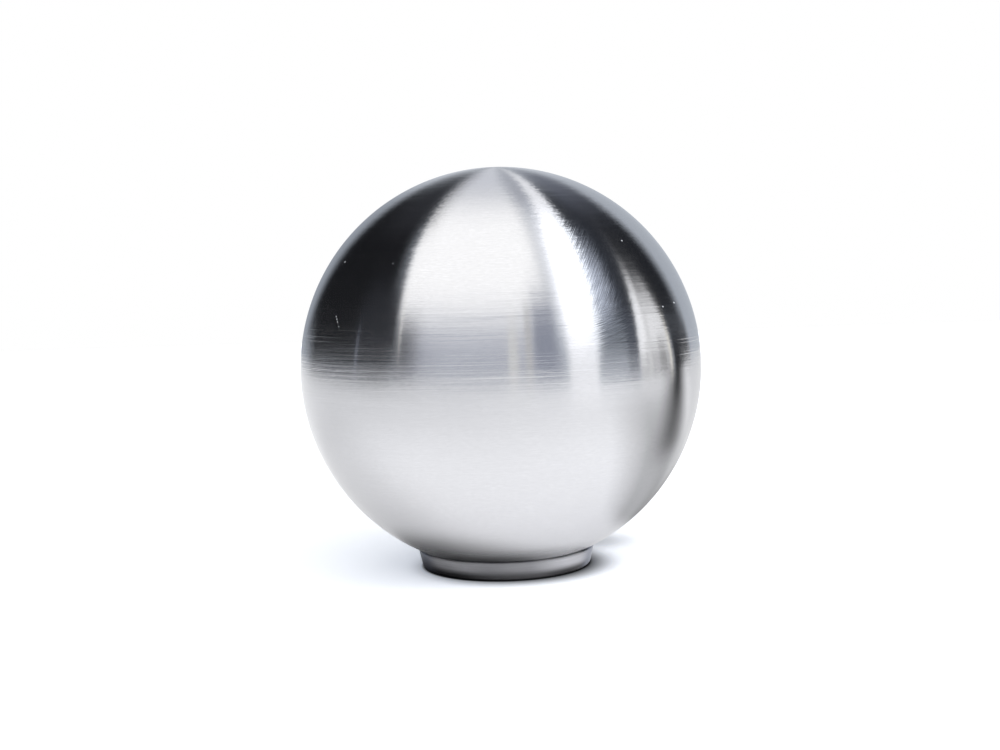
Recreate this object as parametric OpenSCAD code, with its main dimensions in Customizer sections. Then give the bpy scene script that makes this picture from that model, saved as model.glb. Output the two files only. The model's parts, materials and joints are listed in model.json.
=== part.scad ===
// Ball gear shift knob, turned from one solid bar of stainless steel.
// Millimetres, +Z up. The origin is the centre of the flat seat face under the
// collar, and the ball, the collar and the tapped hole share the Z axis.

/* [Ball] */
// Diameter of the ball
ball_d = 50.8; // [36:0.1:70]

/* [Collar] */
// Diameter of the collar at its shoulder, just under the ball
collar_top_d = 22.6; // [20:0.1:32]
// Diameter of the collar at the seat face, before its edge is rounded
collar_base_d = 21.4; // [19:0.1:32]
// Height of the collar, from the seat face to the shoulder
collar_h = 2.5; // [1.6:0.1:12]
// Width of the narrow ledge that the collar leaves around the ball
shoulder_w = 0.3; // [0.1:0.05:1]
// Size of the broken edge along the top of the collar
shoulder_break = 0.12; // [0.05:0.01:0.4]
// Radius of the rounded edge around the seat face
seat_round = 0.5; // [0.1:0.05:0.7]

/* [Tapped hole] */
// Nominal diameter of the thread
thread_d = 10; // [8:1:14]
// Pitch of the thread
thread_pitch = 1.5; // [1:0.25:1.5]
// Depth of the drilled hole, from the seat face to the end of its straight wall
drill_depth = 29; // [18:0.5:30]
// Angle of the drill's point
drill_point_angle = 118; // [90:1:140]
// How much wider than the thread the countersink opens on the seat face
mouth_margin = 1; // [0.2:0.1:3]
// Angle of the countersink
mouth_angle = 90; // [60:1:120]

/* [Hidden] */
$fn = 180;

// How far a cutting tool runs past the face that it enters
overcut = 1;

// The ball meets the shoulder plane in a circle this wide
ball_foot_r = collar_top_d / 2 - shoulder_w;
ball_r = ball_d / 2;
// The ball's centre stands above the shoulder by the height of that circle's
// chord, so the ball always sits on its collar
ball_centre_z = collar_h + sqrt(ball_r * ball_r - ball_foot_r * ball_foot_r);

// A tapping drill leaves the nominal diameter less one pitch
tap_drill_d = thread_d - thread_pitch;
drill_point_h = tap_drill_d / 2 / tan(drill_point_angle / 2);
mouth_d = thread_d + mouth_margin;
mouth_h = (mouth_d - tap_drill_d) / 2 / tan(mouth_angle / 2);

// The collar's side leans inwards going down, and its rounded edge touches
// both that side and the seat face
side_lean = atan((collar_top_d - collar_base_d) / 2 / collar_h);
round_centre_r = collar_base_d / 2 - seat_round * (1 - sin(side_lean)) / cos(side_lean);
round_touch_r = round_centre_r + seat_round * cos(side_lean);
round_touch_z = seat_round * (1 - sin(side_lean));
break_side_r = collar_top_d / 2 - shoulder_break * tan(side_lean);

// Ball above the shoulder plane
module ball() {
    intersection() {
        translate([0, 0, ball_centre_z])
            sphere(r = ball_r);
        translate([0, 0, collar_h])
            cylinder(h = ball_d, r = ball_d);
    }
}

// Half section of the collar, from the axis out to its leaning side
module collar_section() {
    polygon([
        [0, 0],
        [round_centre_r, 0],
        [round_centre_r, seat_round],
        [round_touch_r, round_touch_z],
        [break_side_r, collar_h - shoulder_break],
        [collar_top_d / 2 - shoulder_break, collar_h],
        [0, collar_h],
    ]);
    translate([round_centre_r, seat_round])
        circle(r = seat_round);
}

// Collar under the ball, turned with the same tool marks
module collar() {
    rotate_extrude()
        collar_section();
}

// Blind hole for the shift lever: countersunk mouth, tapping size wall, drill point
module tapped_hole() {
    translate([0, 0, -overcut])
        cylinder(h = drill_depth + overcut, d = tap_drill_d);
    translate([0, 0, drill_depth])
        cylinder(h = drill_point_h, d1 = tap_drill_d, d2 = 0);
    translate([0, 0, -overcut])
        cylinder(
            h = mouth_h + overcut,
            d1 = mouth_d + 2 * overcut * tan(mouth_angle / 2),
            d2 = tap_drill_d
        );
}

// The whole knob is one turned solid
module knob() {
    color("silver")
        difference() {
            union() {
                ball();
                collar();
            }
            tapped_hole();
        }
}

knob();
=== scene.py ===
"""Ball gear shift knob, turned from one bar of stainless steel and brushed round its axis.

The knob stands on its collar at the origin, +Z up, in metres. The ball, the collar and the
threaded hole are one piece. The studio around it is a pale floor, an overhead softbox, two
strip lamps and dark flags at the sides, which the steel mirrors. The lamps and the flags are
painted in the world, each by the angle at which the ball's surface faces it.
"""

import json
import math
from typing import NamedTuple

import bpy
from bpy.props import FloatProperty, FloatVectorProperty, IntProperty, PointerProperty
from mathutils import Matrix, Vector


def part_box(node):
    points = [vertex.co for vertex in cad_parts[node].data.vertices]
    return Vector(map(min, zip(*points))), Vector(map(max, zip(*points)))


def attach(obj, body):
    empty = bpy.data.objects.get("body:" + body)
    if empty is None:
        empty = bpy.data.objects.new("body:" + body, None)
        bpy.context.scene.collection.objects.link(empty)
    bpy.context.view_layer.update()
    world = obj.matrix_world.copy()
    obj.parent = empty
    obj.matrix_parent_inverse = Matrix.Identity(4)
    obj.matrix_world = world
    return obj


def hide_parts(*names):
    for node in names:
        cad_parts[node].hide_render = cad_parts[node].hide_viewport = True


bl_info = {
    "name": "Ball Shift Knob",
    "version": (1, 0, 0),
    "blender": (4, 5, 0),
    "location": "View3D > Sidebar > Shift Knob",
    "description": "Turns, threads and brushes a steel ball shift knob and lights it in a small studio",
    "category": "Object",
}

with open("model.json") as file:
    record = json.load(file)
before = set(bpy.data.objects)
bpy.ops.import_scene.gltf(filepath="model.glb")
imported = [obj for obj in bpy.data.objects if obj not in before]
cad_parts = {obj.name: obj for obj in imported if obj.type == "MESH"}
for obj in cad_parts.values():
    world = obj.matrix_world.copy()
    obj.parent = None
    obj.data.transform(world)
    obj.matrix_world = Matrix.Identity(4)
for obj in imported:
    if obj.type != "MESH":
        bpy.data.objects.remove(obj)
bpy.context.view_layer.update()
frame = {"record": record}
KNOB_LOW, KNOB_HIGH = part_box("knob")
MOUNTS = {mount["name"]: mount for mount in frame["record"]["mounts"]}
MM = 0.001
# Points closer than this are one point
WELD = 1e-7
# Half of the 118 degree angle of the drill's point
DRILL_POINT_HALF = math.radians(59)
# Slope of each flank of the thread
FLANK_SLOPE = math.tan(math.radians(30))
# How far the tap reaches in past the drilled wall, to cut it cleanly
TAP_OVERLAP = 0.12 * MM
# Turns of the tap beyond the thread's length, which its two cut ends take off
SPARE_TURNS = 3
# Steps of the rounded seat edge and of each turn of the thread
ROUND_STEPS = 8
THREAD_STEPS = 64
# Edges that bend less than this look smooth
SMOOTH_ANGLE = math.radians(24)


class KnobSizes(bpy.types.PropertyGroup):
    """Sizes of the turned knob"""

    ball_d: FloatProperty(
        name="Ball diameter", description="Diameter of the ball",
        default=round((KNOB_HIGH.x - KNOB_LOW.x) / MM, 1) * MM, min=0.02, unit="LENGTH", subtype="DISTANCE",
    )
    collar_top_d: FloatProperty(
        name="Collar top", description="Diameter of the collar at its shoulder, just under the ball",
        default=22.6 * MM, min=0.01, unit="LENGTH", subtype="DISTANCE",
    )
    collar_base_d: FloatProperty(
        name="Collar base", description="Diameter of the collar at the seat face",
        default=21.4 * MM, min=0.01, unit="LENGTH", subtype="DISTANCE",
    )
    collar_h: FloatProperty(
        name="Collar height", description="From the seat face to the shoulder",
        default=2.5 * MM, min=0.001, unit="LENGTH", subtype="DISTANCE",
    )
    shoulder_w: FloatProperty(
        name="Shoulder width", description="Width of the narrow ledge around the ball",
        default=0.3 * MM, min=0.0, unit="LENGTH", subtype="DISTANCE",
    )
    shoulder_break: FloatProperty(
        name="Broken edge", description="Size of the broken edge along the top of the collar",
        default=0.12 * MM, min=0.0, unit="LENGTH", subtype="DISTANCE",
    )
    seat_round: FloatProperty(
        name="Seat rounding", description="Radius of the rounded edge around the seat face",
        default=0.5 * MM, min=0.0, unit="LENGTH", subtype="DISTANCE",
    )
    thread_pitch: FloatProperty(
        name="Thread pitch", description="Rise of the thread in one turn",
        default=1.5 * MM, min=0.0005, unit="LENGTH", subtype="DISTANCE",
    )
    thread_run: FloatProperty(
        name="Thread length", description="How far the full thread reaches up the hole",
        default=25 * MM, min=0.005, unit="LENGTH", subtype="DISTANCE",
    )
    drill_depth: FloatProperty(
        name="Hole depth", description="From the seat face to the end of the drilled wall",
        default=29 * MM, min=0.005, unit="LENGTH", subtype="DISTANCE",
    )
    mouth_d: FloatProperty(
        name="Mouth diameter", description="Diameter of the countersink at the seat face",
        default=11 * MM, min=0.005, unit="LENGTH", subtype="DISTANCE",
    )
    segments: IntProperty(
        name="Segments", description="Flats around the ball", default=256, min=64, max=512,
    )


class SteelFinish(bpy.types.PropertyGroup):
    """Colours and brushing of the steel"""

    steel: FloatVectorProperty(
        name="Steel", description="Colour of the bare steel",
        default=(0.668, 0.670, 0.691), min=0.0, max=1.0, size=3, subtype="COLOR",
    )
    collar_steel: FloatVectorProperty(
        name="Collar steel", description="Colour of the turned collar",
        default=(0.63, 0.63, 0.66), min=0.0, max=1.0, size=3, subtype="COLOR",
    )
    # Painted shade: a dark blue-grey on the collar's left and right ends, which stands in for the floor's
    # shade mirrored there
    collar_ends_shade: FloatVectorProperty(
        name="Collar ends", description="Colour of the collar at its left and right ends",
        default=(0.21, 0.235, 0.31), min=0.0, max=1.0, size=3, subtype="COLOR",
    )
    bore_steel: FloatVectorProperty(
        name="Bore steel", description="Colour of the hole, its thread and the seat face",
        default=(0.50, 0.50, 0.505), min=0.0, max=1.0, size=3, subtype="COLOR",
    )
    dust: FloatVectorProperty(
        name="Dust", description="Colour of dust and lint on the ball",
        default=(0.80, 0.84, 0.90), min=0.0, max=1.0, size=3, subtype="COLOR",
    )
    scuff_steel: FloatVectorProperty(
        name="Scuffed steel", description="Colour of the steel in the scuffs",
        default=(0.60, 0.63, 0.675), min=0.0, max=1.0, size=3, subtype="COLOR",
    )
    brush_slant: FloatProperty(
        name="Brush slant",
        description="How far the rings of the brushing tip up at the front, in degrees",
        default=4.5,
    )
    grain_lean: FloatProperty(
        name="Grain lean",
        description="How far the short marks of the brushing lean up and down, in degrees",
        default=1.0, min=0.0,
    )
    line_lean: FloatProperty(
        name="Line lean",
        description="How far the longer brushed lines lean up and down, in degrees",
        default=1.9, min=0.0,
    )
    scratch_lean: FloatProperty(
        name="Scratch lean", description="How far the few deep scratches lean up, in degrees",
        default=5.0, min=0.0,
    )
    hairline_lean: FloatProperty(
        name="Hairline lean",
        description="How far the thin scratches above the middle lean down, in degrees",
        default=7.5, min=0.0,
    )
    line_swing: FloatProperty(
        name="Line swing", description="How far the brushed lines lean aside, in degrees",
        default=0.2, min=0.0,
    )
    top_swing: FloatProperty(
        name="Top swing",
        description="How far the lines near the top of the ball lean aside, in degrees",
        default=1.2, min=0.0,
    )
    scuff_swing: FloatProperty(
        name="Scuff swing", description="How far the deepest scuffs lean aside, in degrees",
        default=1.9, min=0.0,
    )


class StudioSettings(bpy.types.PropertyGroup):
    """Camera, floor and lamps"""

    camera_distance: FloatProperty(
        name="Camera distance", description="From the ball's centre to the camera",
        default=304.8 * MM, min=0.1, unit="LENGTH", subtype="DISTANCE",
    )
    camera_height: FloatProperty(
        name="Camera elevation", description="Angle of the camera above the horizon",
        default=math.radians(8.0), unit="ROTATION", subtype="ANGLE",
    )
    camera_roll: FloatProperty(
        name="Camera roll", description="How far the camera is turned clockwise",
        default=math.radians(1.75), unit="ROTATION", subtype="ANGLE",
    )
    camera_lens: FloatProperty(
        name="Lens", description="Focal length on a 36 mm sensor, in millimetres",
        default=86.27, min=10.0,
    )
    aim_drop: FloatProperty(
        name="Aim drop", description="How far below the ball's centre the camera aims",
        default=0.99 * MM, unit="LENGTH", subtype="DISTANCE",
    )
    aim_left: FloatProperty(
        name="Aim left", description="How far left of the ball's centre the camera aims",
        default=0.11 * MM, unit="LENGTH", subtype="DISTANCE",
    )
    floor_colour: FloatVectorProperty(
        name="Floor", description="Colour of the floor",
        default=(0.94, 0.94, 0.94), min=0.0, max=1.0, size=3, subtype="COLOR",
    )
    floor_size: FloatProperty(
        name="Floor size", description="Length of each side of the floor",
        default=8.0, min=1.0, unit="LENGTH", subtype="DISTANCE",
    )
    floor_right: FloatProperty(
        name="Floor right", description="How far the floor reaches to the right of the knob",
        default=270 * MM, min=0.05, unit="LENGTH", subtype="DISTANCE",
    )
    floor_cut: FloatProperty(
        name="Floor cut",
        description="How far behind the knob the slanting cut on the left crosses the middle line",
        default=425 * MM, min=0.2, unit="LENGTH", subtype="DISTANCE",
    )
    floor_back: FloatProperty(
        name="Floor back", description="How far the floor reaches behind the knob",
        default=235 * MM, min=0.05, unit="LENGTH", subtype="DISTANCE",
    )
    floor_glow: FloatProperty(
        name="Floor glow", description="What the floor adds to its own light for the camera",
        default=0.44, min=0.0,
    )
    near_glow: FloatProperty(
        name="Near glow", description="What the floor close to the knob adds for the steel",
        default=0.27, min=0.0,
    )
    far_glow: FloatProperty(
        name="Far glow", description="What the floor farther out adds for the steel",
        default=0.08, min=0.0,
    )
    lamp_power: FloatProperty(
        name="Lamp power", description="Power of the lamp that casts the knob's shadow",
        default=1.4, min=0.0, unit="POWER",
    )


def deselect_all():
    """Leaves nothing selected in object mode."""
    bpy.ops.object.select_all(action="DESELECT")


def edit(piece):
    """Opens one piece in edit mode with nothing of it selected."""
    deselect_all()
    piece.select_set(True)
    bpy.context.view_layer.objects.active = piece
    bpy.ops.object.mode_set(mode="EDIT")
    bpy.ops.mesh.select_all(action="DESELECT")


def leave_edit():
    """Goes back to object mode."""
    bpy.ops.object.mode_set(mode="OBJECT")


def turn_to(radius_from, radius_to, z_from, z_to):
    """Carries the open edge on to a new radius and height, as one pass on a lathe."""
    bpy.ops.mesh.extrude_edges_move(TRANSFORM_OT_translate={"value": (0, 0, z_to - z_from)})
    scale = radius_to / radius_from
    bpy.ops.transform.resize(value=(scale, scale, 1), center_override=(0, 0, z_to))


def knob_profile(sizes):
    """Radius and height of each turning step, from the shoulder down and up into the hole."""
    top_r = sizes.collar_top_d / 2
    base_r = sizes.collar_base_d / 2
    lean = math.atan((top_r - base_r) / sizes.collar_h)
    rounding = sizes.seat_round
    centre_r = base_r - rounding * (1 - math.sin(lean)) / math.cos(lean)
    break_r = top_r - sizes.shoulder_break * math.tan(lean)
    steps = [
        (top_r - sizes.shoulder_break, sizes.collar_h),
        (break_r, sizes.collar_h - sizes.shoulder_break),
    ]
    for step in range(ROUND_STEPS + 1):
        angle = -lean - (math.pi / 2 - lean) * step / ROUND_STEPS
        steps.append((centre_r + rounding * math.cos(angle), rounding * (1 + math.sin(angle))))
    drill_r = MOUNTS["lever_thread"]["dims"]["r_mm"] * MM
    mouth_r = sizes.mouth_d / 2
    mouth_h = mouth_r - drill_r
    steps.append((mouth_r, 0))
    steps.append((drill_r, mouth_h))
    steps.append((drill_r, sizes.drill_depth))
    return steps


def ball_centre_z(sizes):
    """Height at which the ball sits on its collar."""
    ball_r = sizes.ball_d / 2
    foot_r = sizes.collar_top_d / 2 - sizes.shoulder_w
    return sizes.collar_h + math.sqrt(ball_r**2 - foot_r**2)


class SHIFTKNOB_OT_turn_body(bpy.types.Operator):
    """Turn the ball, the collar and the plain hole"""

    bl_idname = "shift_knob.turn_body"
    bl_label = "Turn Body"

    def execute(self, context):
        sizes = context.scene.knob_sizes
        ball_r = sizes.ball_d / 2
        centre_z = ball_centre_z(sizes)
        foot_r = sizes.collar_top_d / 2 - sizes.shoulder_w
        deselect_all()
        bpy.ops.mesh.primitive_uv_sphere_add(
            segments=sizes.segments, ring_count=sizes.segments // 2,
            radius=ball_r, location=(0, 0, centre_z),
        )
        body = context.active_object
        body.name = "knob_body"
        body.data.name = "knob_body"
        bpy.ops.object.transform_apply(location=True, rotation=True, scale=True)

        edit(body)
        bpy.ops.mesh.select_all(action="SELECT")
        bpy.ops.mesh.bisect(
            plane_co=(0, 0, sizes.collar_h), plane_no=(0, 0, 1), use_fill=False, clear_inner=True,
            threshold=WELD,
        )
        radius, z = foot_r, sizes.collar_h
        for next_radius, next_z in knob_profile(sizes):
            turn_to(radius, next_radius, z, next_z)
            radius, z = next_radius, next_z
        drill_point_h = radius / math.tan(DRILL_POINT_HALF)
        bpy.ops.mesh.extrude_edges_move(TRANSFORM_OT_translate={"value": (0, 0, drill_point_h)})
        bpy.ops.mesh.merge(type="CENTER")
        bpy.ops.mesh.select_all(action="SELECT")
        bpy.ops.mesh.remove_doubles(threshold=WELD)
        bpy.ops.mesh.normals_make_consistent(inside=False)
        leave_edit()
        return {"FINISHED"}


def thread_tap(sizes):
    """A closed helical solid, as the tap cuts it: 60 degree flanks and flat roots."""
    pitch = sizes.thread_pitch
    drill_r = MOUNTS["lever_thread"]["dims"]["r_mm"] * MM
    inner_r = drill_r - TAP_OVERLAP
    cut_depth = drill_r + pitch / 2 - inner_r
    flank_h = cut_depth * FLANK_SLOPE
    root_flat = pitch / 8

    deselect_all()
    bpy.ops.mesh.primitive_plane_add(size=MM, location=(inner_r, 0, -1.5 * pitch))
    tap = bpy.context.active_object
    tap.name = "thread_tap"
    bpy.ops.object.transform_apply(location=True, rotation=True, scale=True)
    edit(tap)
    bpy.ops.mesh.select_all(action="SELECT")
    bpy.ops.mesh.merge(type="CENTER")
    for move in (
        (cut_depth, 0, flank_h),
        (0, 0, root_flat),
        (-cut_depth, 0, flank_h),
        (0, 0, pitch - 2 * flank_h - root_flat),
    ):
        bpy.ops.mesh.extrude_vertices_move(TRANSFORM_OT_translate={"value": move})
    leave_edit()
    screw = tap.modifiers.new("turns", "SCREW")
    screw.axis = "Z"
    screw.angle = 2 * math.pi
    screw.screw_offset = pitch
    screw.iterations = math.ceil(sizes.thread_run / pitch) + SPARE_TURNS
    screw.steps = THREAD_STEPS
    screw.render_steps = THREAD_STEPS
    screw.use_merge_vertices = True
    screw.merge_threshold = WELD
    bpy.ops.object.modifier_apply(modifier="turns")
    edit(tap)
    bpy.ops.mesh.select_all(action="SELECT")
    bpy.ops.mesh.remove_doubles(threshold=WELD)
    for height, keep_above in ((-0.5 * pitch, True), (sizes.thread_run, False)):
        bpy.ops.mesh.select_all(action="SELECT")
        bpy.ops.mesh.bisect(
            plane_co=(0, 0, height), plane_no=(0, 0, 1), use_fill=True,
            clear_inner=keep_above, clear_outer=not keep_above, threshold=WELD,
        )
    bpy.ops.mesh.select_all(action="SELECT")
    bpy.ops.mesh.normals_make_consistent(inside=False)
    leave_edit()
    return tap


class SHIFTKNOB_OT_cut_thread(bpy.types.Operator):
    """Cut the thread into the wall of the hole"""

    bl_idname = "shift_knob.cut_thread"
    bl_label = "Cut Thread"

    def execute(self, context):
        sizes = context.scene.knob_sizes
        body = bpy.data.objects["knob_body"]
        tap = thread_tap(sizes)
        deselect_all()
        body.select_set(True)
        context.view_layer.objects.active = body
        cut = body.modifiers.new("thread", "BOOLEAN")
        cut.operation = "DIFFERENCE"
        cut.solver = "EXACT"
        cut.object = tap
        bpy.ops.object.modifier_apply(modifier="thread")
        bpy.data.objects.remove(tap)
        edit(body)
        bpy.ops.mesh.select_all(action="SELECT")
        bpy.ops.mesh.remove_doubles(threshold=WELD)
        leave_edit()
        bpy.ops.object.shade_smooth_by_angle(angle=SMOOTH_ANGLE)
        return {"FINISHED"}


class Sketch:
    """Adds linked nodes to one node tree. Values are numbers, colours or sockets."""

    def __init__(self, tree):
        self.tree = tree

    def node(self, kind, inputs=(), **settings):
        made = self.tree.nodes.new(kind)
        for name, value in settings.items():
            setattr(made, name, value)
        for key, value in dict(inputs).items():
            self.feed(made.inputs[key], value)
        return made

    def feed(self, socket, value):
        if isinstance(value, bpy.types.NodeSocket):
            self.tree.links.new(value, socket)
        else:
            socket.default_value = value

    def math(self, operation, first, second=None):
        inputs = {0: first} if second is None else {0: first, 1: second}
        return self.node("ShaderNodeMath", inputs, operation=operation).outputs[0]

    def product(self, first, *others):
        for other in others:
            first = self.math("MULTIPLY", first, other)
        return first

    def unless(self, share):
        """What a share leaves of one."""
        return self.math("SUBTRACT", 1.0, share)

    def vector(self, operation, first, second=None, output=0):
        inputs = {0: first} if second is None else {0: first, 1: second}
        return self.node("ShaderNodeVectorMath", inputs, operation=operation).outputs[output]

    def scale(self, vector, size):
        made = self.node("ShaderNodeVectorMath", {0: vector}, operation="SCALE")
        self.feed(made.inputs["Scale"], size)
        return made.outputs[0]

    def join(self, x, y, z):
        return self.node("ShaderNodeCombineXYZ", {0: x, 1: y, 2: z}).outputs[0]

    def split(self, vector):
        return self.node("ShaderNodeSeparateXYZ", {0: vector}).outputs

    def ramp(self, value, low, high, to_low=0.0, to_high=1.0, kind="SMOOTHSTEP"):
        """Goes from to_low to to_high as the value goes from low to high, and stays there outside."""
        inputs = {0: value, 1: low, 2: high, 3: to_low, 4: to_high}
        return self.node("ShaderNodeMapRange", inputs, interpolation_type=kind).outputs[0]

    def mix(self, amount, first, second):
        made = self.node("ShaderNodeMix", data_type="RGBA")
        self.feed(made.inputs[0], amount)
        self.feed(made.inputs[6], first)
        self.feed(made.inputs[7], second)
        return made.outputs[2]

    def noise(self, vector, scale, detail=2.0, rough=0.5):
        inputs = {"Vector": vector, "Scale": scale, "Detail": detail, "Roughness": rough}
        return self.node("ShaderNodeTexNoise", inputs).outputs["Fac"]


def node_group(name, inputs, outputs):
    """An empty shader node group with named sockets. Each input is name, type and default."""
    group = bpy.data.node_groups.new(name, "ShaderNodeTree")
    for socket_name, kind, default in inputs:
        socket = group.interface.new_socket(socket_name, in_out="INPUT", socket_type=kind)
        if default is not None:
            socket.default_value = default
    for socket_name, kind in outputs:
        group.interface.new_socket(socket_name, in_out="OUTPUT", socket_type=kind)
    given = group.nodes.new("NodeGroupInput").outputs
    made = group.nodes.new("NodeGroupOutput").inputs
    return group, Sketch(group), given, made


# Noise cells to a degree and to a radian of the short grain, the fine lines, the rare scratches
# and the lines on the collar
GRAIN = {"Lines": 3.4, "Breaks": 36.0}
FINE_LINES = {"Lines": 4.0, "Breaks": 2.2}
RARE_LINES = {"Lines": 3.0, "Breaks": 0.9}
COLLAR_LINES = {"Lines": 5.0, "Breaks": 2.0}
# The part of a noise's values that makes up nearly all of it
NOISE_SPAN = (0.25, 0.75)
# Shares of the rare lines that are deep scratches and hairlines
DEEP_SCRATCHES = (0.78, 0.90)
HAIRLINES = (0.65, 0.92)

# Latitudes in degrees over which the brushing changes: its lines lie flatter on the lower half,
# scratches and hairlines start near the middle, hairlines fade higher up, and lines fray at the top
FLAT_LINES_END = (-8.0, 6.0)
SCRATCHES_BEGIN = (0.0, 6.0)
HAIRLINES_BEGIN = (-2.0, 6.0)
HAIRLINES_FADE = (18.0, 34.0)
FRAY_BEGINS = (25.0, 65.0)

# Direction of the scuffs, steep higher up and nearly flat lower down, and the latitudes of the bend
SCUFF_TURN = math.radians(64)
FLAT_SCUFF_TURN = math.radians(12)
SCUFF_BEND = (17.0, 25.0)
# Noise cells to a degree along a scuff and across it, and the part of the noise that makes hairs
SCUFF_CELLS = (0.2, 3.4, 1.0)
SCUFF_HAIRS = (0.32, 0.68)
# Where the scuffed patch fades in and out, in degrees
SCUFFS_LEFT = (23.0, 31.0)
SCUFFS_RIGHT = (36.0, 46.0)
SCUFFS_FOOT = (4.0, 18.0)
SCUFFS_TOP = (44.0, 60.0)

# The painted shade in the groove under the ball: its latitudes, and how far it thins to the left
# and right, where the ball's left end is at -1 and its right end at 1
GROOVE_SHADE = (-62.5, -52.5)
GROOVE_SHADE_LEFT = (-0.85, -0.5)
GROOVE_SHADE_RIGHT = (-0.1, 0.6)
GROOVE_SHADE_THIN = 0.35
# The duller steel above the groove, which ends on the right
DULL_FOOT = (-60.0, -50.0)
DULL_FOOT_RIGHT = (0.57, 0.82)

# Heights on the collar of its painted shade at the foot and at the lip
COLLAR_FOOT_SHADE = (0.5 * MM, 1.45 * MM)
COLLAR_LIP_SHADE = (2.0 * MM, 2.45 * MM)
# Azimuth of the painted shade in the collar's middle, and how far the middle and the shaded ends reach from
# it, in degrees
COLLAR_SHADE_MIDDLE = 3.0
MIDDLE_SHADE_REACH = (10.0, 42.0)
ENDS_SHADE_BEGIN = (52.0, 72.0)
ENDS_SHADE_FADE = (84.0, 110.0)
# Azimuth, latitude and radius of each speck of dust in degrees, the last four a scrap of lint
DUST = (
    (128.0, 12.0, 0.30),
    (171.0, 44.0, 0.24),
    (214.0, -9.0, 0.32),
    (243.0, 58.0, 0.26),
    (52.2, 41.0, 0.24),
    (56.2, 19.9, 0.23),
    (63.9, 20.2, 0.27),
    (-65.3, 35.7, 0.27),
    (-37.9, 36.5, 0.12),
    (-55.8, 19.9, 0.20),
    (-55.1, 19.2, 0.22),
    (-54.4, 18.5, 0.22),
    (-53.2, 17.3, 0.16),
)


def place_on_ball_group(centre_z):
    """Azimuth and latitude on the ball in degrees, 0 azimuth at the front and plus to the right.

    Ring is the level direction away from the axis, and Outward the one away from the centre.
    """
    outputs = [
        ("Azimuth", "NodeSocketFloat"), ("Latitude", "NodeSocketFloat"),
        ("Ring", "NodeSocketVector"), ("Outward", "NodeSocketVector"),
    ]
    group, sketch, _, made = node_group("place_on_ball", [], outputs)
    place = sketch.node("ShaderNodeTexCoord").outputs["Object"]
    outward = sketch.vector("NORMALIZE", sketch.vector("SUBTRACT", place, (0, 0, centre_z)))
    x, y, z = sketch.split(outward)
    azimuth = sketch.math("ARCTAN2", x, sketch.product(y, -1.0))
    sketch.feed(made["Azimuth"], sketch.math("DEGREES", azimuth))
    sketch.feed(made["Latitude"], sketch.math("DEGREES", sketch.math("ARCSINE", z)))
    sketch.feed(made["Ring"], sketch.vector("NORMALIZE", sketch.vector("MULTIPLY", outward, (1, 1, 0))))
    sketch.feed(made["Outward"], outward)
    return group


def brushed_lines_group():
    """Lines round the axis: how far each leans up and aside, and how bright it is, all 0 to 1."""
    group, sketch, given, made = node_group(
        "brushed_lines",
        [("Ring", "NodeSocketVector", None), ("Latitude", "NodeSocketFloat", 0.0),
         ("Lines", "NodeSocketFloat", 3.0), ("Breaks", "NodeSocketFloat", 3.0)],
        [("Rise", "NodeSocketFloat"), ("Swing", "NodeSocketFloat"), ("Streak", "NodeSocketFloat")],
    )
    around = sketch.scale(given["Ring"], given["Breaks"])
    rise = sketch.product(given["Latitude"], given["Lines"])
    place = sketch.vector("ADD", around, sketch.join(0.0, 0.0, rise))
    noise = {"Vector": place, "Scale": 1.0, "Detail": 2.0, "Roughness": 0.6}
    channels = sketch.split(sketch.node("ShaderNodeTexNoise", noise).outputs["Color"])
    for name, channel in zip(("Rise", "Swing", "Streak"), channels):
        sketch.feed(made[name], sketch.ramp(channel, *NOISE_SPAN, kind="LINEAR"))
    return group


def leaning_normal_group():
    """The surface normal leaned up by Rise and aside by Swing, both in degrees."""
    group, sketch, given, made = node_group(
        "leaning_normal",
        [("Ring", "NodeSocketVector", None), ("Rise", "NodeSocketFloat", 0.0),
         ("Swing", "NodeSocketFloat", 0.0)],
        [("Normal", "NodeSocketVector")],
    )
    normal = sketch.node("ShaderNodeNewGeometry").outputs["Normal"]
    x, y, _ = sketch.split(given["Ring"])
    aside = sketch.join(sketch.product(y, -1.0), x, 0.0)
    up = sketch.vector("CROSS_PRODUCT", normal, aside)
    for direction, angle in ((up, "Rise"), (aside, "Swing")):
        lean = sketch.scale(direction, sketch.math("RADIANS", given[angle]))
        normal = sketch.vector("ADD", normal, lean)
    sketch.feed(made["Normal"], sketch.vector("NORMALIZE", normal))
    return group


def scuffs_group():
    """Hairy scuffs on one side of the ball: Hair is how deep each of them is, Haze where they are."""
    group, sketch, given, made = node_group(
        "scuffs",
        [("Azimuth", "NodeSocketFloat", 0.0), ("Latitude", "NodeSocketFloat", 0.0)],
        [("Hair", "NodeSocketFloat"), ("Haze", "NodeSocketFloat")],
    )
    azimuth, latitude = given["Azimuth"], given["Latitude"]
    level = sketch.math("COSINE", sketch.math("RADIANS", latitude))
    place = sketch.join(sketch.product(azimuth, level), latitude, 0.0)
    hairs = []
    for turn in (SCUFF_TURN, FLAT_SCUFF_TURN):
        along = {"Vector": place, "Angle": -turn}
        turned = sketch.node("ShaderNodeVectorRotate", along, rotation_type="Z_AXIS").outputs[0]
        hairs.append(sketch.noise(sketch.vector("MULTIPLY", turned, SCUFF_CELLS), 1.0, 2.0, 0.6))
    steep = sketch.ramp(latitude, *SCUFF_BEND)
    hair = sketch.math("ADD", sketch.product(steep, hairs[0]),
                       sketch.product(sketch.unless(steep), hairs[1]))
    haze = sketch.product(
        sketch.ramp(latitude, *SCUFFS_FOOT), sketch.ramp(latitude, *SCUFFS_TOP, 1.0, 0.0),
        sketch.ramp(azimuth, *SCUFFS_LEFT), sketch.ramp(azimuth, *SCUFFS_RIGHT, 1.0, 0.0),
    )
    sketch.feed(made["Haze"], haze)
    sketch.feed(made["Hair"], sketch.product(sketch.ramp(hair, *SCUFF_HAIRS, kind="LINEAR"), haze))
    return group


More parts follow.
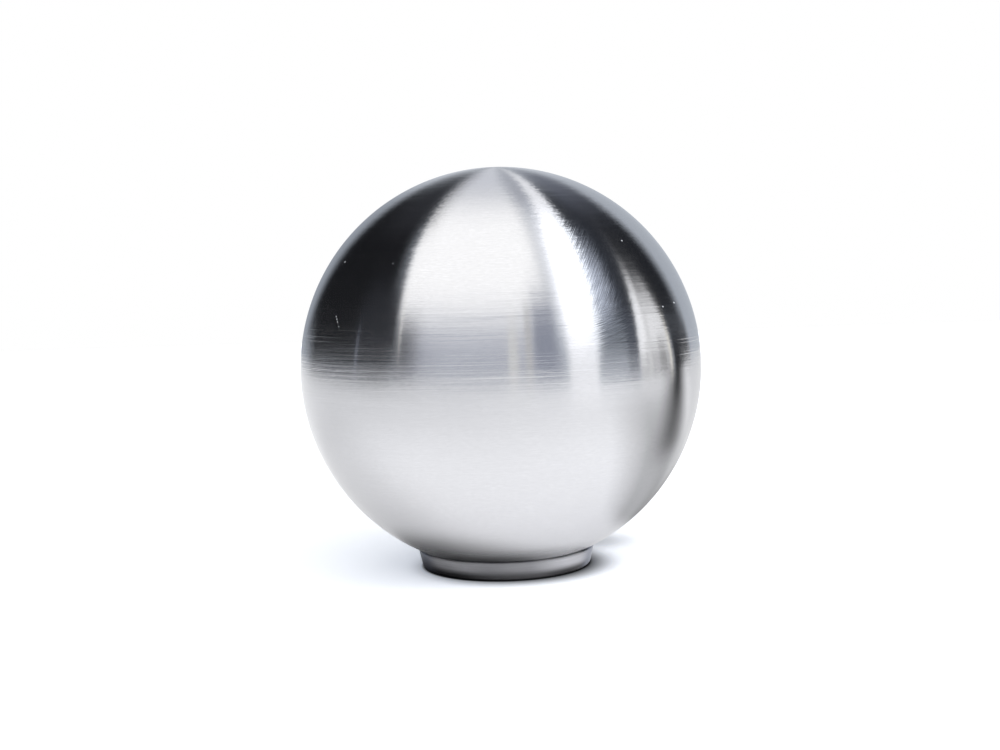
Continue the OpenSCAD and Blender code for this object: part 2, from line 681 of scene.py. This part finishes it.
def dust_group():
    """Specks of dust and one scrap of lint on the ball."""
    group, sketch, given, made = node_group(
        "dust", [("Outward", "NodeSocketVector", None)], [("Speck", "NodeSocketFloat")]
    )
    speck = 0.0
    for azimuth, latitude, size in DUST:
        turn, tilt, reach = (math.radians(angle) for angle in (azimuth, latitude, size))
        place = (math.cos(tilt) * math.sin(turn), -math.cos(tilt) * math.cos(turn), math.sin(tilt))
        away = sketch.vector("DISTANCE", given["Outward"], place, output="Value")
        speck = sketch.math("MAXIMUM", speck, sketch.ramp(away, 0.6 * reach, 1.1 * reach, 1.0, 0.0))
    sketch.feed(made["Speck"], speck)
    return group


def metal(sketch, base, roughness, anisotropic, normal=None, metallic=1.0):
    """The steel's shader, brushed round the axis: the light spreads across the brushed lines."""
    tangent = sketch.node("ShaderNodeTangent", direction_type="RADIAL", axis="Z").outputs[0]
    shader = sketch.node("ShaderNodeBsdfPrincipled")
    sketch.feed(shader.inputs["Base Color"], base)
    sketch.feed(shader.inputs["Metallic"], metallic)
    sketch.feed(shader.inputs["Roughness"], roughness)
    shader.inputs["Anisotropic"].default_value = anisotropic
    shader.inputs["Anisotropic Rotation"].default_value = 0.25
    sketch.feed(shader.inputs["Tangent"], tangent)
    if normal is not None:
        sketch.feed(shader.inputs["Normal"], normal)
    output = sketch.node("ShaderNodeOutputMaterial")
    sketch.feed(output.inputs["Surface"], shader.outputs[0])
    return shader


def new_material(name):
    """An empty material and a sketch of its nodes."""
    material = bpy.data.materials.new(name)
    material.use_nodes = True
    material.node_tree.nodes.clear()
    return material, Sketch(material.node_tree)


def use_group(sketch, group, **inputs):
    """Adds a node group and feeds its inputs. An underscore stands for a blank in their names."""
    made = sketch.node("ShaderNodeGroup", node_tree=group)
    for name, value in inputs.items():
        sketch.feed(made.inputs[name.replace("_", " ")], value)
    return made.outputs


def shade(colour, factor=1.0):
    """A colour made darker or lighter, with full alpha."""
    return tuple(channel * factor for channel in colour[:3]) + (1,)


def either_way(sketch, value, reach):
    """Turns 0 to 1 into a lean of up to reach to either side."""
    return sketch.product(sketch.math("SUBTRACT", value, 0.5), 2 * reach)


def lines_rise(sketch, finish, latitude, grain, fine, rare):
    """How far the surface leans up or down in the brushed lines, scratches and hairlines, in degrees."""
    lines = sketch.math("ADD", either_way(sketch, grain["Rise"], finish.grain_lean),
                        either_way(sketch, fine["Rise"], finish.line_lean))
    lines = sketch.product(lines, sketch.ramp(latitude, *FLAT_LINES_END, 0.35, 1.0))
    scratches = sketch.product(
        sketch.ramp(rare["Rise"], *DEEP_SCRATCHES), sketch.ramp(latitude, *SCRATCHES_BEGIN),
        finish.scratch_lean,
    )
    hairlines = sketch.product(
        sketch.ramp(rare["Swing"], *HAIRLINES, kind="LINEAR"), sketch.ramp(latitude, *HAIRLINES_BEGIN),
        sketch.ramp(latitude, *HAIRLINES_FADE, 1.0, 0.1), finish.hairline_lean,
    )
    return sketch.math("SUBTRACT", sketch.math("ADD", lines, scratches), hairlines)


def lines_swing(sketch, finish, latitude, grain, fine, hair):
    """How far the surface leans aside in the brushed lines and the scuffs, in degrees."""
    fray = sketch.ramp(latitude, *FRAY_BEGINS, finish.line_swing, finish.top_swing)
    aside = sketch.math("ADD", either_way(sketch, grain["Swing"], 1.0),
                        either_way(sketch, fine["Swing"], 0.8))
    return sketch.math("SUBTRACT", sketch.product(aside, fray), sketch.product(hair, finish.scuff_swing))


def ball_colour(sketch, finish, place, grain, fine, scuffs, to_right):
    """The steel with its brushed lines, faint clouds, scuffs and painted shade in the groove under it."""
    steel = finish.steel
    base = sketch.mix(grain["Streak"], shade(steel, 0.93), shade(steel, 1.04))
    base = sketch.mix(sketch.ramp(fine["Streak"], 0.3, 1.0, 0.0, 0.4), base, shade(steel, 0.94))
    cloud = sketch.noise(place["Outward"], 14.0, 3.0, 0.6)
    base = sketch.mix(sketch.ramp(cloud, 0.35, 0.65, 0.0, 0.4), base, shade(steel, 0.96))
    scuffed = sketch.mix(scuffs["Hair"], shade(finish.scuff_steel, 0.72), shade(finish.scuff_steel, 1.2))
    base = sketch.mix(sketch.product(scuffs["Haze"], 0.9), base, scuffed)
    # Painted shade: the steel darkens nearly to black in the groove under the ball, less on the right
    groove_shade = sketch.product(
        sketch.ramp(to_right, *GROOVE_SHADE_LEFT, GROOVE_SHADE_THIN, 1.0),
        sketch.ramp(to_right, *GROOVE_SHADE_RIGHT, 1.0, GROOVE_SHADE_THIN),
        sketch.ramp(place["Latitude"], *GROOVE_SHADE, 0.82, 0.0),
    )
    return sketch.mix(groove_shade, base, shade(steel, 0.1))


def brushed_ball(finish, groups):
    """Steel of the ball, brushed round the axis, with scuffs on one side and a few specks of dust."""
    material, sketch = new_material("brushed_ball")
    place = use_group(sketch, groups["place"])
    ring, latitude = place["Ring"], place["Latitude"]
    facing = sketch.math("COSINE", sketch.math("RADIANS", place["Azimuth"]))
    line = sketch.math("SUBTRACT", latitude, sketch.product(facing, finish.brush_slant))
    grain, fine, rare = (
        use_group(sketch, groups["lines"], Ring=ring, Latitude=line, **lines)
        for lines in (GRAIN, FINE_LINES, RARE_LINES)
    )
    scuffs = use_group(sketch, groups["scuffs"], Azimuth=place["Azimuth"], Latitude=latitude)
    speck = use_group(sketch, groups["dust"], Outward=place["Outward"])["Speck"]
    rise = lines_rise(sketch, finish, latitude, grain, fine, rare)
    swing = lines_swing(sketch, finish, latitude, grain, fine, scuffs["Hair"])
    normal = use_group(sketch, groups["normal"], Ring=ring, Rise=rise, Swing=swing)["Normal"]

    to_right = sketch.split(ring)[0]
    base = ball_colour(sketch, finish, place, grain, fine, scuffs, to_right)
    base = sketch.mix(speck, base, shade(finish.dust))
    roughness = sketch.ramp(fine["Streak"], 0.0, 1.0, 0.14, 0.18, kind="LINEAR")
    dull_foot = sketch.product(
        sketch.ramp(latitude, *DULL_FOOT, 0.14, 0.0), sketch.ramp(to_right, *DULL_FOOT_RIGHT, 1.0, 0.0)
    )
    for more in (sketch.product(scuffs["Haze"], 0.03), dull_foot, sketch.product(speck, 0.5)):
        roughness = sketch.math("ADD", roughness, more)
    metal(sketch, base, roughness, 0.95, normal, metallic=sketch.unless(speck))
    return material


def turned_collar(finish, groups):
    """Steel of the collar, as the lathe left it, with painted shade at its foot, lip, middle and ends."""
    material, sketch = new_material("turned_collar")
    place = use_group(sketch, groups["place"])
    ring = place["Ring"]
    lines = use_group(sketch, groups["lines"], Ring=ring, Latitude=place["Latitude"], **COLLAR_LINES)
    steel = finish.collar_steel
    base = sketch.mix(lines["Streak"], shade(steel, 0.86), shade(steel, 1.08))
    height = sketch.split(sketch.node("ShaderNodeTexCoord").outputs["Object"])[2]
    # Painted shade: nearly black at the collar's foot, where it touches the floor, and darker at its lip
    # under the ball
    foot = sketch.ramp(height, *COLLAR_FOOT_SHADE, 0.95, 0.0)
    lip_shade = sketch.ramp(height, *COLLAR_LIP_SHADE, 0.0, 0.4)
    base = sketch.mix(sketch.math("MAXIMUM", foot, lip_shade), base, shade(steel, 0.07))
    # Painted shade: the middle of the collar, around its front, is darkened
    aside = sketch.math("ABSOLUTE", sketch.math("SUBTRACT", place["Azimuth"], COLLAR_SHADE_MIDDLE))
    base = sketch.mix(sketch.ramp(aside, *MIDDLE_SHADE_REACH, 0.64, 0.0), base, shade(steel, 0.25))
    # Painted shade: the collar's left and right ends turn dark blue-grey
    ends = sketch.product(sketch.ramp(aside, *ENDS_SHADE_BEGIN, 0.0, 0.9),
                          sketch.ramp(aside, *ENDS_SHADE_FADE, 1.0, 0.0))
    base = sketch.mix(ends, base, shade(finish.collar_ends_shade))
    rise = sketch.ramp(lines["Rise"], 0.0, 1.0, -3.0, 3.0, kind="LINEAR")
    normal = use_group(sketch, groups["normal"], Ring=ring, Rise=rise)["Normal"]
    roughness = sketch.ramp(lines["Streak"], 0.0, 1.0, 0.30, 0.36, kind="LINEAR")
    metal(sketch, base, roughness, 0.9, normal)
    return material


def cut_bore(finish):
    """Steel of the hole, its thread and the seat face, as they were cut."""
    material, sketch = new_material("cut_bore")
    place = sketch.node("ShaderNodeTexCoord").outputs["Object"]
    marks = sketch.noise(sketch.vector("MULTIPLY", place, (300, 300, 4000)), 1.0, 3.0, 0.6)
    base = sketch.mix(marks, shade(finish.bore_steel, 0.8), shade(finish.bore_steel))
    roughness = sketch.ramp(marks, 0.3, 0.7, 0.28, 0.38, kind="LINEAR")
    metal(sketch, base, roughness, 0.5)
    return material


class SHIFTKNOB_OT_finish_steel(bpy.types.Operator):
    """Brush the ball, and give the collar and the hole their own finish"""

    bl_idname = "shift_knob.finish_steel"
    bl_label = "Finish Steel"

    def execute(self, context):
        sizes = context.scene.knob_sizes
        finish = context.scene.steel_finish
        body = bpy.data.objects["knob_body"]
        centre = Vector((0, 0, ball_centre_z(sizes)))
        groups = {
            "place": place_on_ball_group(centre.z), "lines": brushed_lines_group(),
            "normal": leaning_normal_group(), "scuffs": scuffs_group(), "dust": dust_group(),
        }
        for material in (brushed_ball(finish, groups), turned_collar(finish, groups), cut_bore(finish)):
            body.data.materials.append(material)
        ball, collar, bore = range(3)
        sphere_reach = sizes.ball_d / 2 * 0.99
        mouth_r = sizes.mouth_d / 2
        for face in body.data.polygons:
            middle = face.center
            from_axis = math.hypot(middle.x, middle.y)
            if middle.z > sizes.collar_h and (middle - centre).length > sphere_reach:
                face.material_index = ball
            elif from_axis > mouth_r and WELD < middle.z <= sizes.collar_h:
                face.material_index = collar
            else:
                face.material_index = bore
        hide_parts("knob")
        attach(body, "root")
        return {"FINISHED"}


class Window(NamedTuple):
    """A lamp or a flag, placed by the angles at which the ball's surface faces it, in degrees.

    The first of each pair is its left or its bottom edge and the second its right or its top
    edge. Lean is how far the left and the right edge swing over on the way up to the pole.
    """

    name: str
    sides: tuple
    heights: tuple
    soft_sides: tuple
    soft_heights: tuple
    level: float
    blue: float = 1.0
    lean: tuple = (0, 0)
    green: float = 0.25


# A window's soft sides widen towards the pole, down to this cosine of the height
POLE_LEVEL = 0.12
# Colour of the room, and the lamps and flags in it, from the back layer to the front one
ROOM_LEVEL = 0.51
ROOM_BLUE = 1.18
ROOM_GREEN = 0.4
WINDOWS = (
    Window("left wall", (-195, -69.5), (0, 68), (22, 12.5), (15, 29), 0.335, 1.23, green=0.4),
    Window("back wall", (-200, 200), (72, 112), (4, 8), (30, 9), 0.62, 1.14, green=0.4),
    Window("left flag", (-77.4, -32), (4.6, 72), (8.5, 9), (12, 26), 0.012, 1.21, (14.5, -3.5)),
    Window("rim glow", (-110, -71), (-20, 12), (10, 9), (5, 16), 0.40, 1.2, green=0.4),
    Window("right flag", (28.6, 68.3), (12.5, 70), (3, 7), (16, 19), 0.02, 1.31, (4, -14)),
    Window("back glow", (-33, 9), (63, 103), (5.5, 4.5), (18, 10), 0.81, 1.1, (-1, -6)),
    Window("softbox skirt", (-30.2, 13.5), (4, 65), (2, 8), (16, 21), 0.57, 1.17, (9, -9)),
    Window("softbox", (-31.3, 16.5), (20.4, 62.5), (2.6, 7), (20, 25), 1.47, 0.98, (-4, -8)),
    Window("skirt corner", (-31, -20), (3, 15), (1, 12), (6, 8), 0.46, 1.18),
    Window("skirt edge", (-31.5, -25), (5.7, 20), (1, 8), (8, 10), 0.10, 1.2),
    Window("gap flag", (9.5, 17), (4.7, 26), (3, 5.4), (5, 19), 0.32, 1.32, (-1.5, -5.5)),
    Window("upper gap", (11.5, 24), (58, 86), (6, 4), (14, 6), 0.48, 1.15),
    Window("right haze", (36, 65), (60, 81), (9, 10.5), (30, 16), 0.18, 1.33, (2.5, -4)),
    Window("right foot", (32.3, 42), (18, 45), (3.3, 2), (17, 14), 0.04, 1.33, (-4, 26)),
    Window("low flare", (25, 35), (18, 33), (4, 11), (10, 8), 0.42, 1.2),
    Window("strip flare", (25, 33.6), (22, 40), (4, 9), (8, 16), 0.95, 1.17, (0, 2)),
    Window("strip", (19.5, 28.4), (-6, 82), (2.6, 2), (12, 26), 1.13, 1.03, (3, 3)),
    Window("strip core", (18.8, 29.2), (16, 52.7), (7, 3.4), (22, 22), 2.27, 1.03, (-3.7, 2)),
    Window("post foot", (38.7, 42.8), (5, 20), (2.6, 1.3), (12, 8), 0.10, 1.33, (-4, 22)),
    Window("second strip foot", (43.2, 58.3), (-12, 28), (1.4, 1.2), (2, 10), 0.49, 1.0, (17, -62)),
    Window("second strip", (42.5, 57.5), (9, 21.8), (1.2, 1.2), (10, 16), 1.27, 1.0, (22, -64)),
    Window("bright edge", (42.7, 45.4), (7, 28), (1.1, 1.6), (9, 18), 1.42, 1.0, (22, 22)),
    Window("second strip gap", (46.4, 47.8), (4, 20), (1, 1), (6, 10), 0.98, 1.0, (22, 22)),
    Window("brown gap", (51.5, 54.7), (-6, 10), (1.4, 1), (6, 6), 0.30, 0.98, (-30, -30)),
    Window("flag foot", (-46, -31.3), (8, 30), (8, 2), (12, 14), 0.03, 1.26, (5, -6)),
    Window("flag top", (-57.5, -31.5), (50, 81), (15, 10), (14, 14), 0.035, 1.23, (1, 1)),
    Window("right post", (58.8, 69.2), (-12, 14), (1.2, 4), (3, 12), 0.015, 1.37, (-66, 0)),
    Window("left cream line", (-30.4, -29.9), (13, 26), (0.5, 0.5), (14, 4), 1.2, 0.93),
    Window("left blue line", (-45.8, -45.1), (3, 15), (0.6, 0.6), (6, 12), 0.28, 1.3),
    Window("cream band", (2.2, 5.0), (3, 19), (1.2, 2), (6, 8), 0.84, 0.97),
    Window("faint cream band", (7.1, 9.0), (3, 24), (1, 1), (6, 10), 0.64, 0.99),
    Window("right cream line", (56.4, 57.4), (-8, 15), (0.6, 0.6), (6, 6), 1.25, 0.88, (-30, -30)),
)


class RoundShadow(NamedTuple):
    """A round shadow on the floor: its middle, where it fades out, and the light left in its middle."""

    middle: tuple
    fade: tuple
    left: float


# Colour of the floor's own glow for the camera
GLOW_COLOUR = (0.93, 1.0, 1.12, 1)
# The contact shadow and the shade beside the knob on the right, as the camera sees them
SEEN_CONTACT = RoundShadow((1.2 * MM, -0.6 * MM, 0), (8.5 * MM, 14.5 * MM), 0.03)
RIGHT_SHADE = RoundShadow((11.5 * MM, 12 * MM, 0), (1 * MM, 8 * MM), 0.55)
# The contact shadow as the steel mirrors it
MIRRORED_CONTACT = RoundShadow((-3.8 * MM, -0.7 * MM, 0), (6.5 * MM, 15.8 * MM), 0.08)
# The painted black line of contact shade where the collar touches the floor, from inside its edge to
# outside
TOUCH = (-0.2 * MM, 0.4 * MM)
# How far from the knob the floor's glow for the steel goes from near to far
GLOW_FADE = (18 * MM, 90 * MM)

# The shadow of the stand on the right, as the steel mirrors it on the floor. X is to the right of
# the knob and y behind it. Its dark core runs along a line, and bends away to the back far out.
CORE_START = -13.8 * MM
CORE_SLOPE = 0.47
CORE_BEND = 140 * MM
CORE_BEND_SLOPE = 0.11
# Half width of the core at the knob and how much it gains to the right, in front and behind
CORE_NEAR_WIDTH = (4.5 * MM, 0.32)
CORE_FAR_WIDTH = (21 * MM, 0.19)
# The core darkens quickly over the first x and slowly over the second
CORE_BEGIN = (33 * MM, 52 * MM)
CORE_REST = (52 * MM, 120 * MM)
CORE_DARK = 0.66
CORE_REST_DARK = 0.30
# A half shadow lies around the near end of the core. It begins at these x, between an edge that
# turns by these degrees from the right and an edge at these y, or farther back where x is small.
HALF_SHADOW = 0.45
HALF_BEGIN = (15.3 * MM, 20.5 * MM)
HALF_NEAR_EDGE = (-36.0, -9.0)
HALF_FAR_EDGE = (14 * MM, 50 * MM)
HALF_FAR_NEAR_KNOB = (28 * MM, 75 * MM)
HALF_NEAR_KNOB = (26 * MM, 46 * MM)
# It thins with the distance from the knob to this share, and is deeper close behind the knob
HALF_THINS = (60 * MM, 170 * MM)
HALF_THIN = 0.12
DEEPER_REACH = (18 * MM, 42 * MM)
DEEPER_BEHIND = (1 * MM, 12 * MM)
DEEPER = 0.5
# Shade on the floor behind the knob on the right, in degrees from the right
BACK_SHADE = 0.2
BACK_SHADE_BEGIN = (28.0, 44.0)
BACK_SHADE_END = (60.0, 110.0)
LAMP_PLACE = (0.47, -0.13, 0.26)
LAMP_SIZE = 0.25


def lamp_window_group():
    """How much of a lamp or a flag shows at a place. Narrow widens its soft sides near the pole."""
    names = ("Azimuth", "Height", "Narrow", "Rise", "Left", "Right", "Bottom", "Top",
             "Soft left", "Soft right", "Soft bottom", "Soft top", "Lean left", "Lean right")
    inputs = [(name, "NodeSocketFloat", 0.0) for name in names]
    group, sketch, given, made = node_group("lamp_window", inputs, [("Shown", "NodeSocketFloat")])
    shown = None
    for side, outside, inside in (("left", 0, 1), ("right", 1, 0), ("bottom", 0, 1), ("top", 1, 0)):
        edge = given[side.capitalize()]
        soft = given["Soft " + side]
        place = given["Height"]
        if side in ("left", "right"):
            edge = sketch.math("ADD", edge, sketch.product(given["Lean " + side], given["Rise"]))
            soft = sketch.product(soft, given["Narrow"])
            place = given["Azimuth"]
        half = sketch.product(soft, 0.5)
        low = sketch.math("SUBTRACT", edge, half)
        high = sketch.math("ADD", edge, half)
        part = sketch.ramp(place, low, high, outside, inside)
        shown = part if shown is None else sketch.product(shown, part)
    sketch.feed(made["Shown"], shown)
    return group


def cool_grey(level, blue, green):
    """A grey with blue times as much blue as red. Green is the share of that in the green channel."""
    return (level, level * (1 + green * (blue - 1)), level * blue, 1.0)


class SHIFTKNOB_OT_set_studio(bpy.types.Operator):
    """Set the floor, the lamps and the camera"""

    bl_idname = "shift_knob.set_studio"
    bl_label = "Set Studio"

    def execute(self, context):
        scene = context.scene
        studio = scene.studio
        sizes = scene.knob_sizes
        scene.view_settings.view_transform = "Standard"
        centre = Vector((0, 0, ball_centre_z(sizes)))
        height = studio.camera_height
        back = Vector((0, -math.cos(height), math.sin(height)))
        self.place_camera(scene, studio, centre, back)
        self.paint_world(scene, back)
        self.lay_floor(studio, sizes)
        self.hang_lamp(studio)
        return {"FINISHED"}

    def place_camera(self, scene, studio, centre, back):
        """Puts the camera back from the ball, rolled and aimed a little past the ball's centre."""
        turned = back.to_track_quat("Z", "Y") @ Matrix.Rotation(-studio.camera_roll, 3, "Z").to_quaternion()
        right = turned @ Vector((1, 0, 0))
        up = turned @ Vector((0, 1, 0))
        aim = centre - up * studio.aim_drop - right * studio.aim_left
        bpy.ops.object.camera_add(location=aim + back * studio.camera_distance)
        camera = bpy.context.active_object
        camera.name = "studio_camera"
        camera.rotation_mode = "QUATERNION"
        camera.rotation_quaternion = turned
        camera.data.lens = studio.camera_lens
        camera.data.sensor_width = 36
        camera.data.clip_start = 0.01
        camera.data.clip_end = 50
        scene.camera = camera

    def paint_world(self, scene, back):
        """Paints the lamps where the steel mirrors them towards the photographer."""
        world = bpy.data.worlds.new("studio_world")
        scene.world = world
        world.use_nodes = True
        world.node_tree.nodes.clear()
        sketch = Sketch(world.node_tree)
        ray = sketch.node("ShaderNodeTexCoord").outputs["Generated"]
        facing = sketch.vector("NORMALIZE", sketch.vector("ADD", ray, tuple(back)))
        x, y, z = sketch.split(facing)
        azimuth = sketch.math("DEGREES", sketch.math("ARCTAN2", x, sketch.product(y, -1.0)))
        tilt = sketch.math("ARCSINE", z)
        latitude = sketch.math("DEGREES", tilt)
        level = sketch.math("MAXIMUM", sketch.math("COSINE", tilt), POLE_LEVEL)
        narrow = sketch.math("DIVIDE", 1.0, level)
        upward = sketch.math("DIVIDE", sketch.math("MAXIMUM", latitude, 0.0), 90.0)
        rise = sketch.product(upward, upward)
        group = lamp_window_group()
        colour = cool_grey(ROOM_LEVEL, ROOM_BLUE, ROOM_GREEN)
        for window in WINDOWS:
            shown = use_group(
                sketch, group, Azimuth=azimuth, Height=latitude, Narrow=narrow, Rise=rise,
                Left=window.sides[0], Right=window.sides[1],
                Bottom=window.heights[0], Top=window.heights[1],
                Soft_left=window.soft_sides[0], Soft_right=window.soft_sides[1],
                Soft_bottom=window.soft_heights[0], Soft_top=window.soft_heights[1],
                Lean_left=window.lean[0], Lean_right=window.lean[1],
            )["Shown"]
            colour = sketch.mix(shown, colour, cool_grey(window.level, window.blue, window.green))
        light = sketch.node("ShaderNodeBackground", {"Color": colour})
        white = sketch.node("ShaderNodeBackground", {"Color": (1, 1, 1, 1)})
        seen = sketch.node("ShaderNodeLightPath").outputs["Is Camera Ray"]
        both = sketch.node("ShaderNodeMixShader", {0: seen, 1: light.outputs[0], 2: white.outputs[0]})
        sketch.node("ShaderNodeOutputWorld", {"Surface": both.outputs[0]})

    def lay_floor(self, studio, sizes):
        """A pale sheet under the knob. It ends at cuts on the far left, behind and on the right.

        The steel mirrors the flags and the room past them, as they hang down lower than the horizon.
        """
        bpy.ops.mesh.primitive_plane_add(size=studio.floor_size, location=(0, 0, -0.01 * MM))
        floor = bpy.context.active_object
        floor.name = "studio_floor"
        bpy.ops.object.transform_apply(location=True, rotation=True, scale=True)
        edit(floor)
        for edge, outward in (
            ((0, studio.floor_cut, 0), (-1, 1, 0)),
            ((0, studio.floor_back, 0), (0, 1, 0)),
            ((studio.floor_right, 0, 0), (1, 0, 0)),
        ):
            bpy.ops.mesh.select_all(action="SELECT")
            bpy.ops.mesh.bisect(plane_co=edge, plane_no=outward, clear_outer=True, threshold=WELD)
        leave_edit()
        floor.data.materials.append(self.pale_floor(studio, sizes))

    def pale_floor(self, studio, sizes):
        """A pale floor that glows a little for the camera and the steel, but not where it lies in shade."""
        material, sketch = new_material("pale_floor")
        place = sketch.node("ShaderNodeTexCoord").outputs["Object"]
        path = sketch.node("ShaderNodeLightPath").outputs
        mirrored = path["Is Glossy Ray"]
        seen, beside, in_steel = (
            self.round_shadow(sketch, place, shadow)
            for shadow in (SEEN_CONTACT, RIGHT_SHADE, MIRRORED_CONTACT)
        )
        contact = sketch.mix(mirrored, sketch.product(seen, beside), in_steel)
        foot_r = sizes.collar_base_d / 2
        reach = sketch.vector("LENGTH", place, output="Value")
        # Painted contact shade: a black line on the floor at the collar's edge
        touch = sketch.ramp(reach, foot_r + TOUCH[0], foot_r + TOUCH[1])
        streak = sketch.product(self.stand_shadow(sketch, place, reach), mirrored)
        lit = sketch.product(contact, touch, sketch.unless(streak))
        pale = sketch.mix(lit, (0, 0, 0, 1), shade(studio.floor_colour))
        shader = sketch.node("ShaderNodeBsdfDiffuse", {"Color": pale})
        near = sketch.ramp(reach, *GLOW_FADE, studio.near_glow, studio.far_glow)
        strength = sketch.math("ADD", sketch.product(near, mirrored),
                               sketch.product(studio.floor_glow, path["Is Camera Ray"]))
        tint = sketch.mix(mirrored, GLOW_COLOUR, (1, 1, 1, 1))
        glow = sketch.node("ShaderNodeEmission", {"Color": tint, "Strength": sketch.product(strength, lit)})
        both = sketch.node("ShaderNodeAddShader", {0: shader.outputs[0], 1: glow.outputs[0]})
        sketch.node("ShaderNodeOutputMaterial", {"Surface": both.outputs[0]})
        return material

    def round_shadow(self, sketch, place, shadow):
        """The share of the light on the floor in a round shadow and around it."""
        away = sketch.vector("DISTANCE", place, shadow.middle, output="Value")
        return sketch.ramp(away, *shadow.fade, shadow.left, 1.0)

    def stand_shadow(self, sketch, place, reach):
        """How dark the stand on the right makes the floor for the steel."""
        x, y, _ = sketch.split(place)
        turn = sketch.math("DEGREES", sketch.math("ARCTAN2", y, x))
        back = sketch.product(sketch.ramp(turn, *BACK_SHADE_BEGIN, 0.0, BACK_SHADE),
                              sketch.ramp(turn, *BACK_SHADE_END, 1.0, 0.0))
        dark = (self.core_shadow(sketch, x, y), self.half_shadow(sketch, x, y, turn, reach), back)
        return sketch.unless(sketch.product(*(sketch.unless(part) for part in dark)))

    def core_shadow(self, sketch, x, y):
        """The dark core of the stand's shadow, which widens to the right."""
        beyond = sketch.math("MAXIMUM", sketch.math("SUBTRACT", x, CORE_BEND), 0.0)
        middle = sketch.math("ADD", sketch.math("ADD", sketch.product(x, CORE_SLOPE), CORE_START),
                             sketch.product(beyond, CORE_BEND_SLOPE))
        off = sketch.math("SUBTRACT", y, middle)
        near_side, far_side = (
            sketch.math("DIVIDE", off, sketch.math("ADD", base, sketch.product(x, spread)))
            for base, spread in (CORE_NEAR_WIDTH, CORE_FAR_WIDTH)
        )
        depth = sketch.math("ADD", sketch.ramp(x, *CORE_BEGIN, 0.0, CORE_DARK),
                            sketch.ramp(x, *CORE_REST, 0.0, CORE_REST_DARK, kind="LINEAR"))
        return sketch.product(
            sketch.ramp(near_side, -1.0, 0.0), sketch.ramp(far_side, 0.0, 1.0, 1.0, 0.0), depth
        )

    def half_shadow(self, sketch, x, y, turn, reach):
        """The half shadow around the near end of the core."""
        near_edge = sketch.ramp(turn, *HALF_NEAR_EDGE, kind="LINEAR")
        far_edge = sketch.math(
            "MAXIMUM", sketch.ramp(y, *HALF_FAR_EDGE, 1.0, 0.0, kind="LINEAR"),
            sketch.product(sketch.ramp(y, *HALF_FAR_NEAR_KNOB, 1.0, 0.0, kind="LINEAR"),
                           sketch.ramp(x, *HALF_NEAR_KNOB, 1.0, 0.0)),
        )
        depth = sketch.ramp(reach, *HALF_THINS, HALF_SHADOW, HALF_THIN, kind="LINEAR")
        deeper = sketch.product(sketch.ramp(reach, *DEEPER_REACH, DEEPER, 0.0, kind="LINEAR"),
                                sketch.ramp(y, *DEEPER_BEHIND))
        begin = sketch.ramp(x, *HALF_BEGIN)
        return sketch.product(near_edge, far_edge, begin, depth, sketch.math("ADD", deeper, 1.0))

    def hang_lamp(self, studio):
        """A soft lamp on the right, which lights the floor and casts the knob's shadow to the left."""
        place = Vector(LAMP_PLACE)
        bpy.ops.object.light_add(type="AREA", location=place)
        lamp = bpy.context.active_object
        lamp.name = "shadow_lamp"
        lamp.rotation_mode = "QUATERNION"
        lamp.rotation_quaternion = place.to_track_quat("Z", "Y")
        lamp.data.size = LAMP_SIZE
        lamp.data.energy = studio.lamp_power
        lamp.visible_glossy = False


class SHIFTKNOB_PT_panel(bpy.types.Panel):
    """Sizes, finish and studio of the knob, and the steps that make it"""

    bl_label = "Ball Shift Knob"
    bl_idname = "SHIFTKNOB_PT_panel"
    bl_space_type = "VIEW_3D"
    bl_region_type = "UI"
    bl_category = "Shift Knob"

    def draw(self, context):
        layout = self.layout
        for title, settings in (
            ("Sizes", context.scene.knob_sizes),
            ("Steel", context.scene.steel_finish),
            ("Studio", context.scene.studio),
        ):
            box = layout.box()
            box.label(text=title)
            for name in settings.__annotations__:
                box.prop(settings, name)
        for step in STEPS:
            layout.operator(step.bl_idname)


STEPS = (
    SHIFTKNOB_OT_turn_body,
    SHIFTKNOB_OT_cut_thread,
    SHIFTKNOB_OT_finish_steel,
    SHIFTKNOB_OT_set_studio,
)
CLASSES = (KnobSizes, SteelFinish, StudioSettings, *STEPS, SHIFTKNOB_PT_panel)


def register():
    for cls in CLASSES:
        bpy.utils.register_class(cls)
    bpy.types.Scene.knob_sizes = PointerProperty(type=KnobSizes)
    bpy.types.Scene.steel_finish = PointerProperty(type=SteelFinish)
    bpy.types.Scene.studio = PointerProperty(type=StudioSettings)


def unregister():
    del bpy.types.Scene.studio
    del bpy.types.Scene.steel_finish
    del bpy.types.Scene.knob_sizes
    for cls in reversed(CLASSES):
        bpy.utils.unregister_class(cls)


def main():
    register()
    bpy.ops.shift_knob.turn_body()
    bpy.ops.shift_knob.cut_thread()
    bpy.ops.shift_knob.finish_steel()
    bpy.ops.shift_knob.set_studio()


if __name__ == "__main__":
    main()
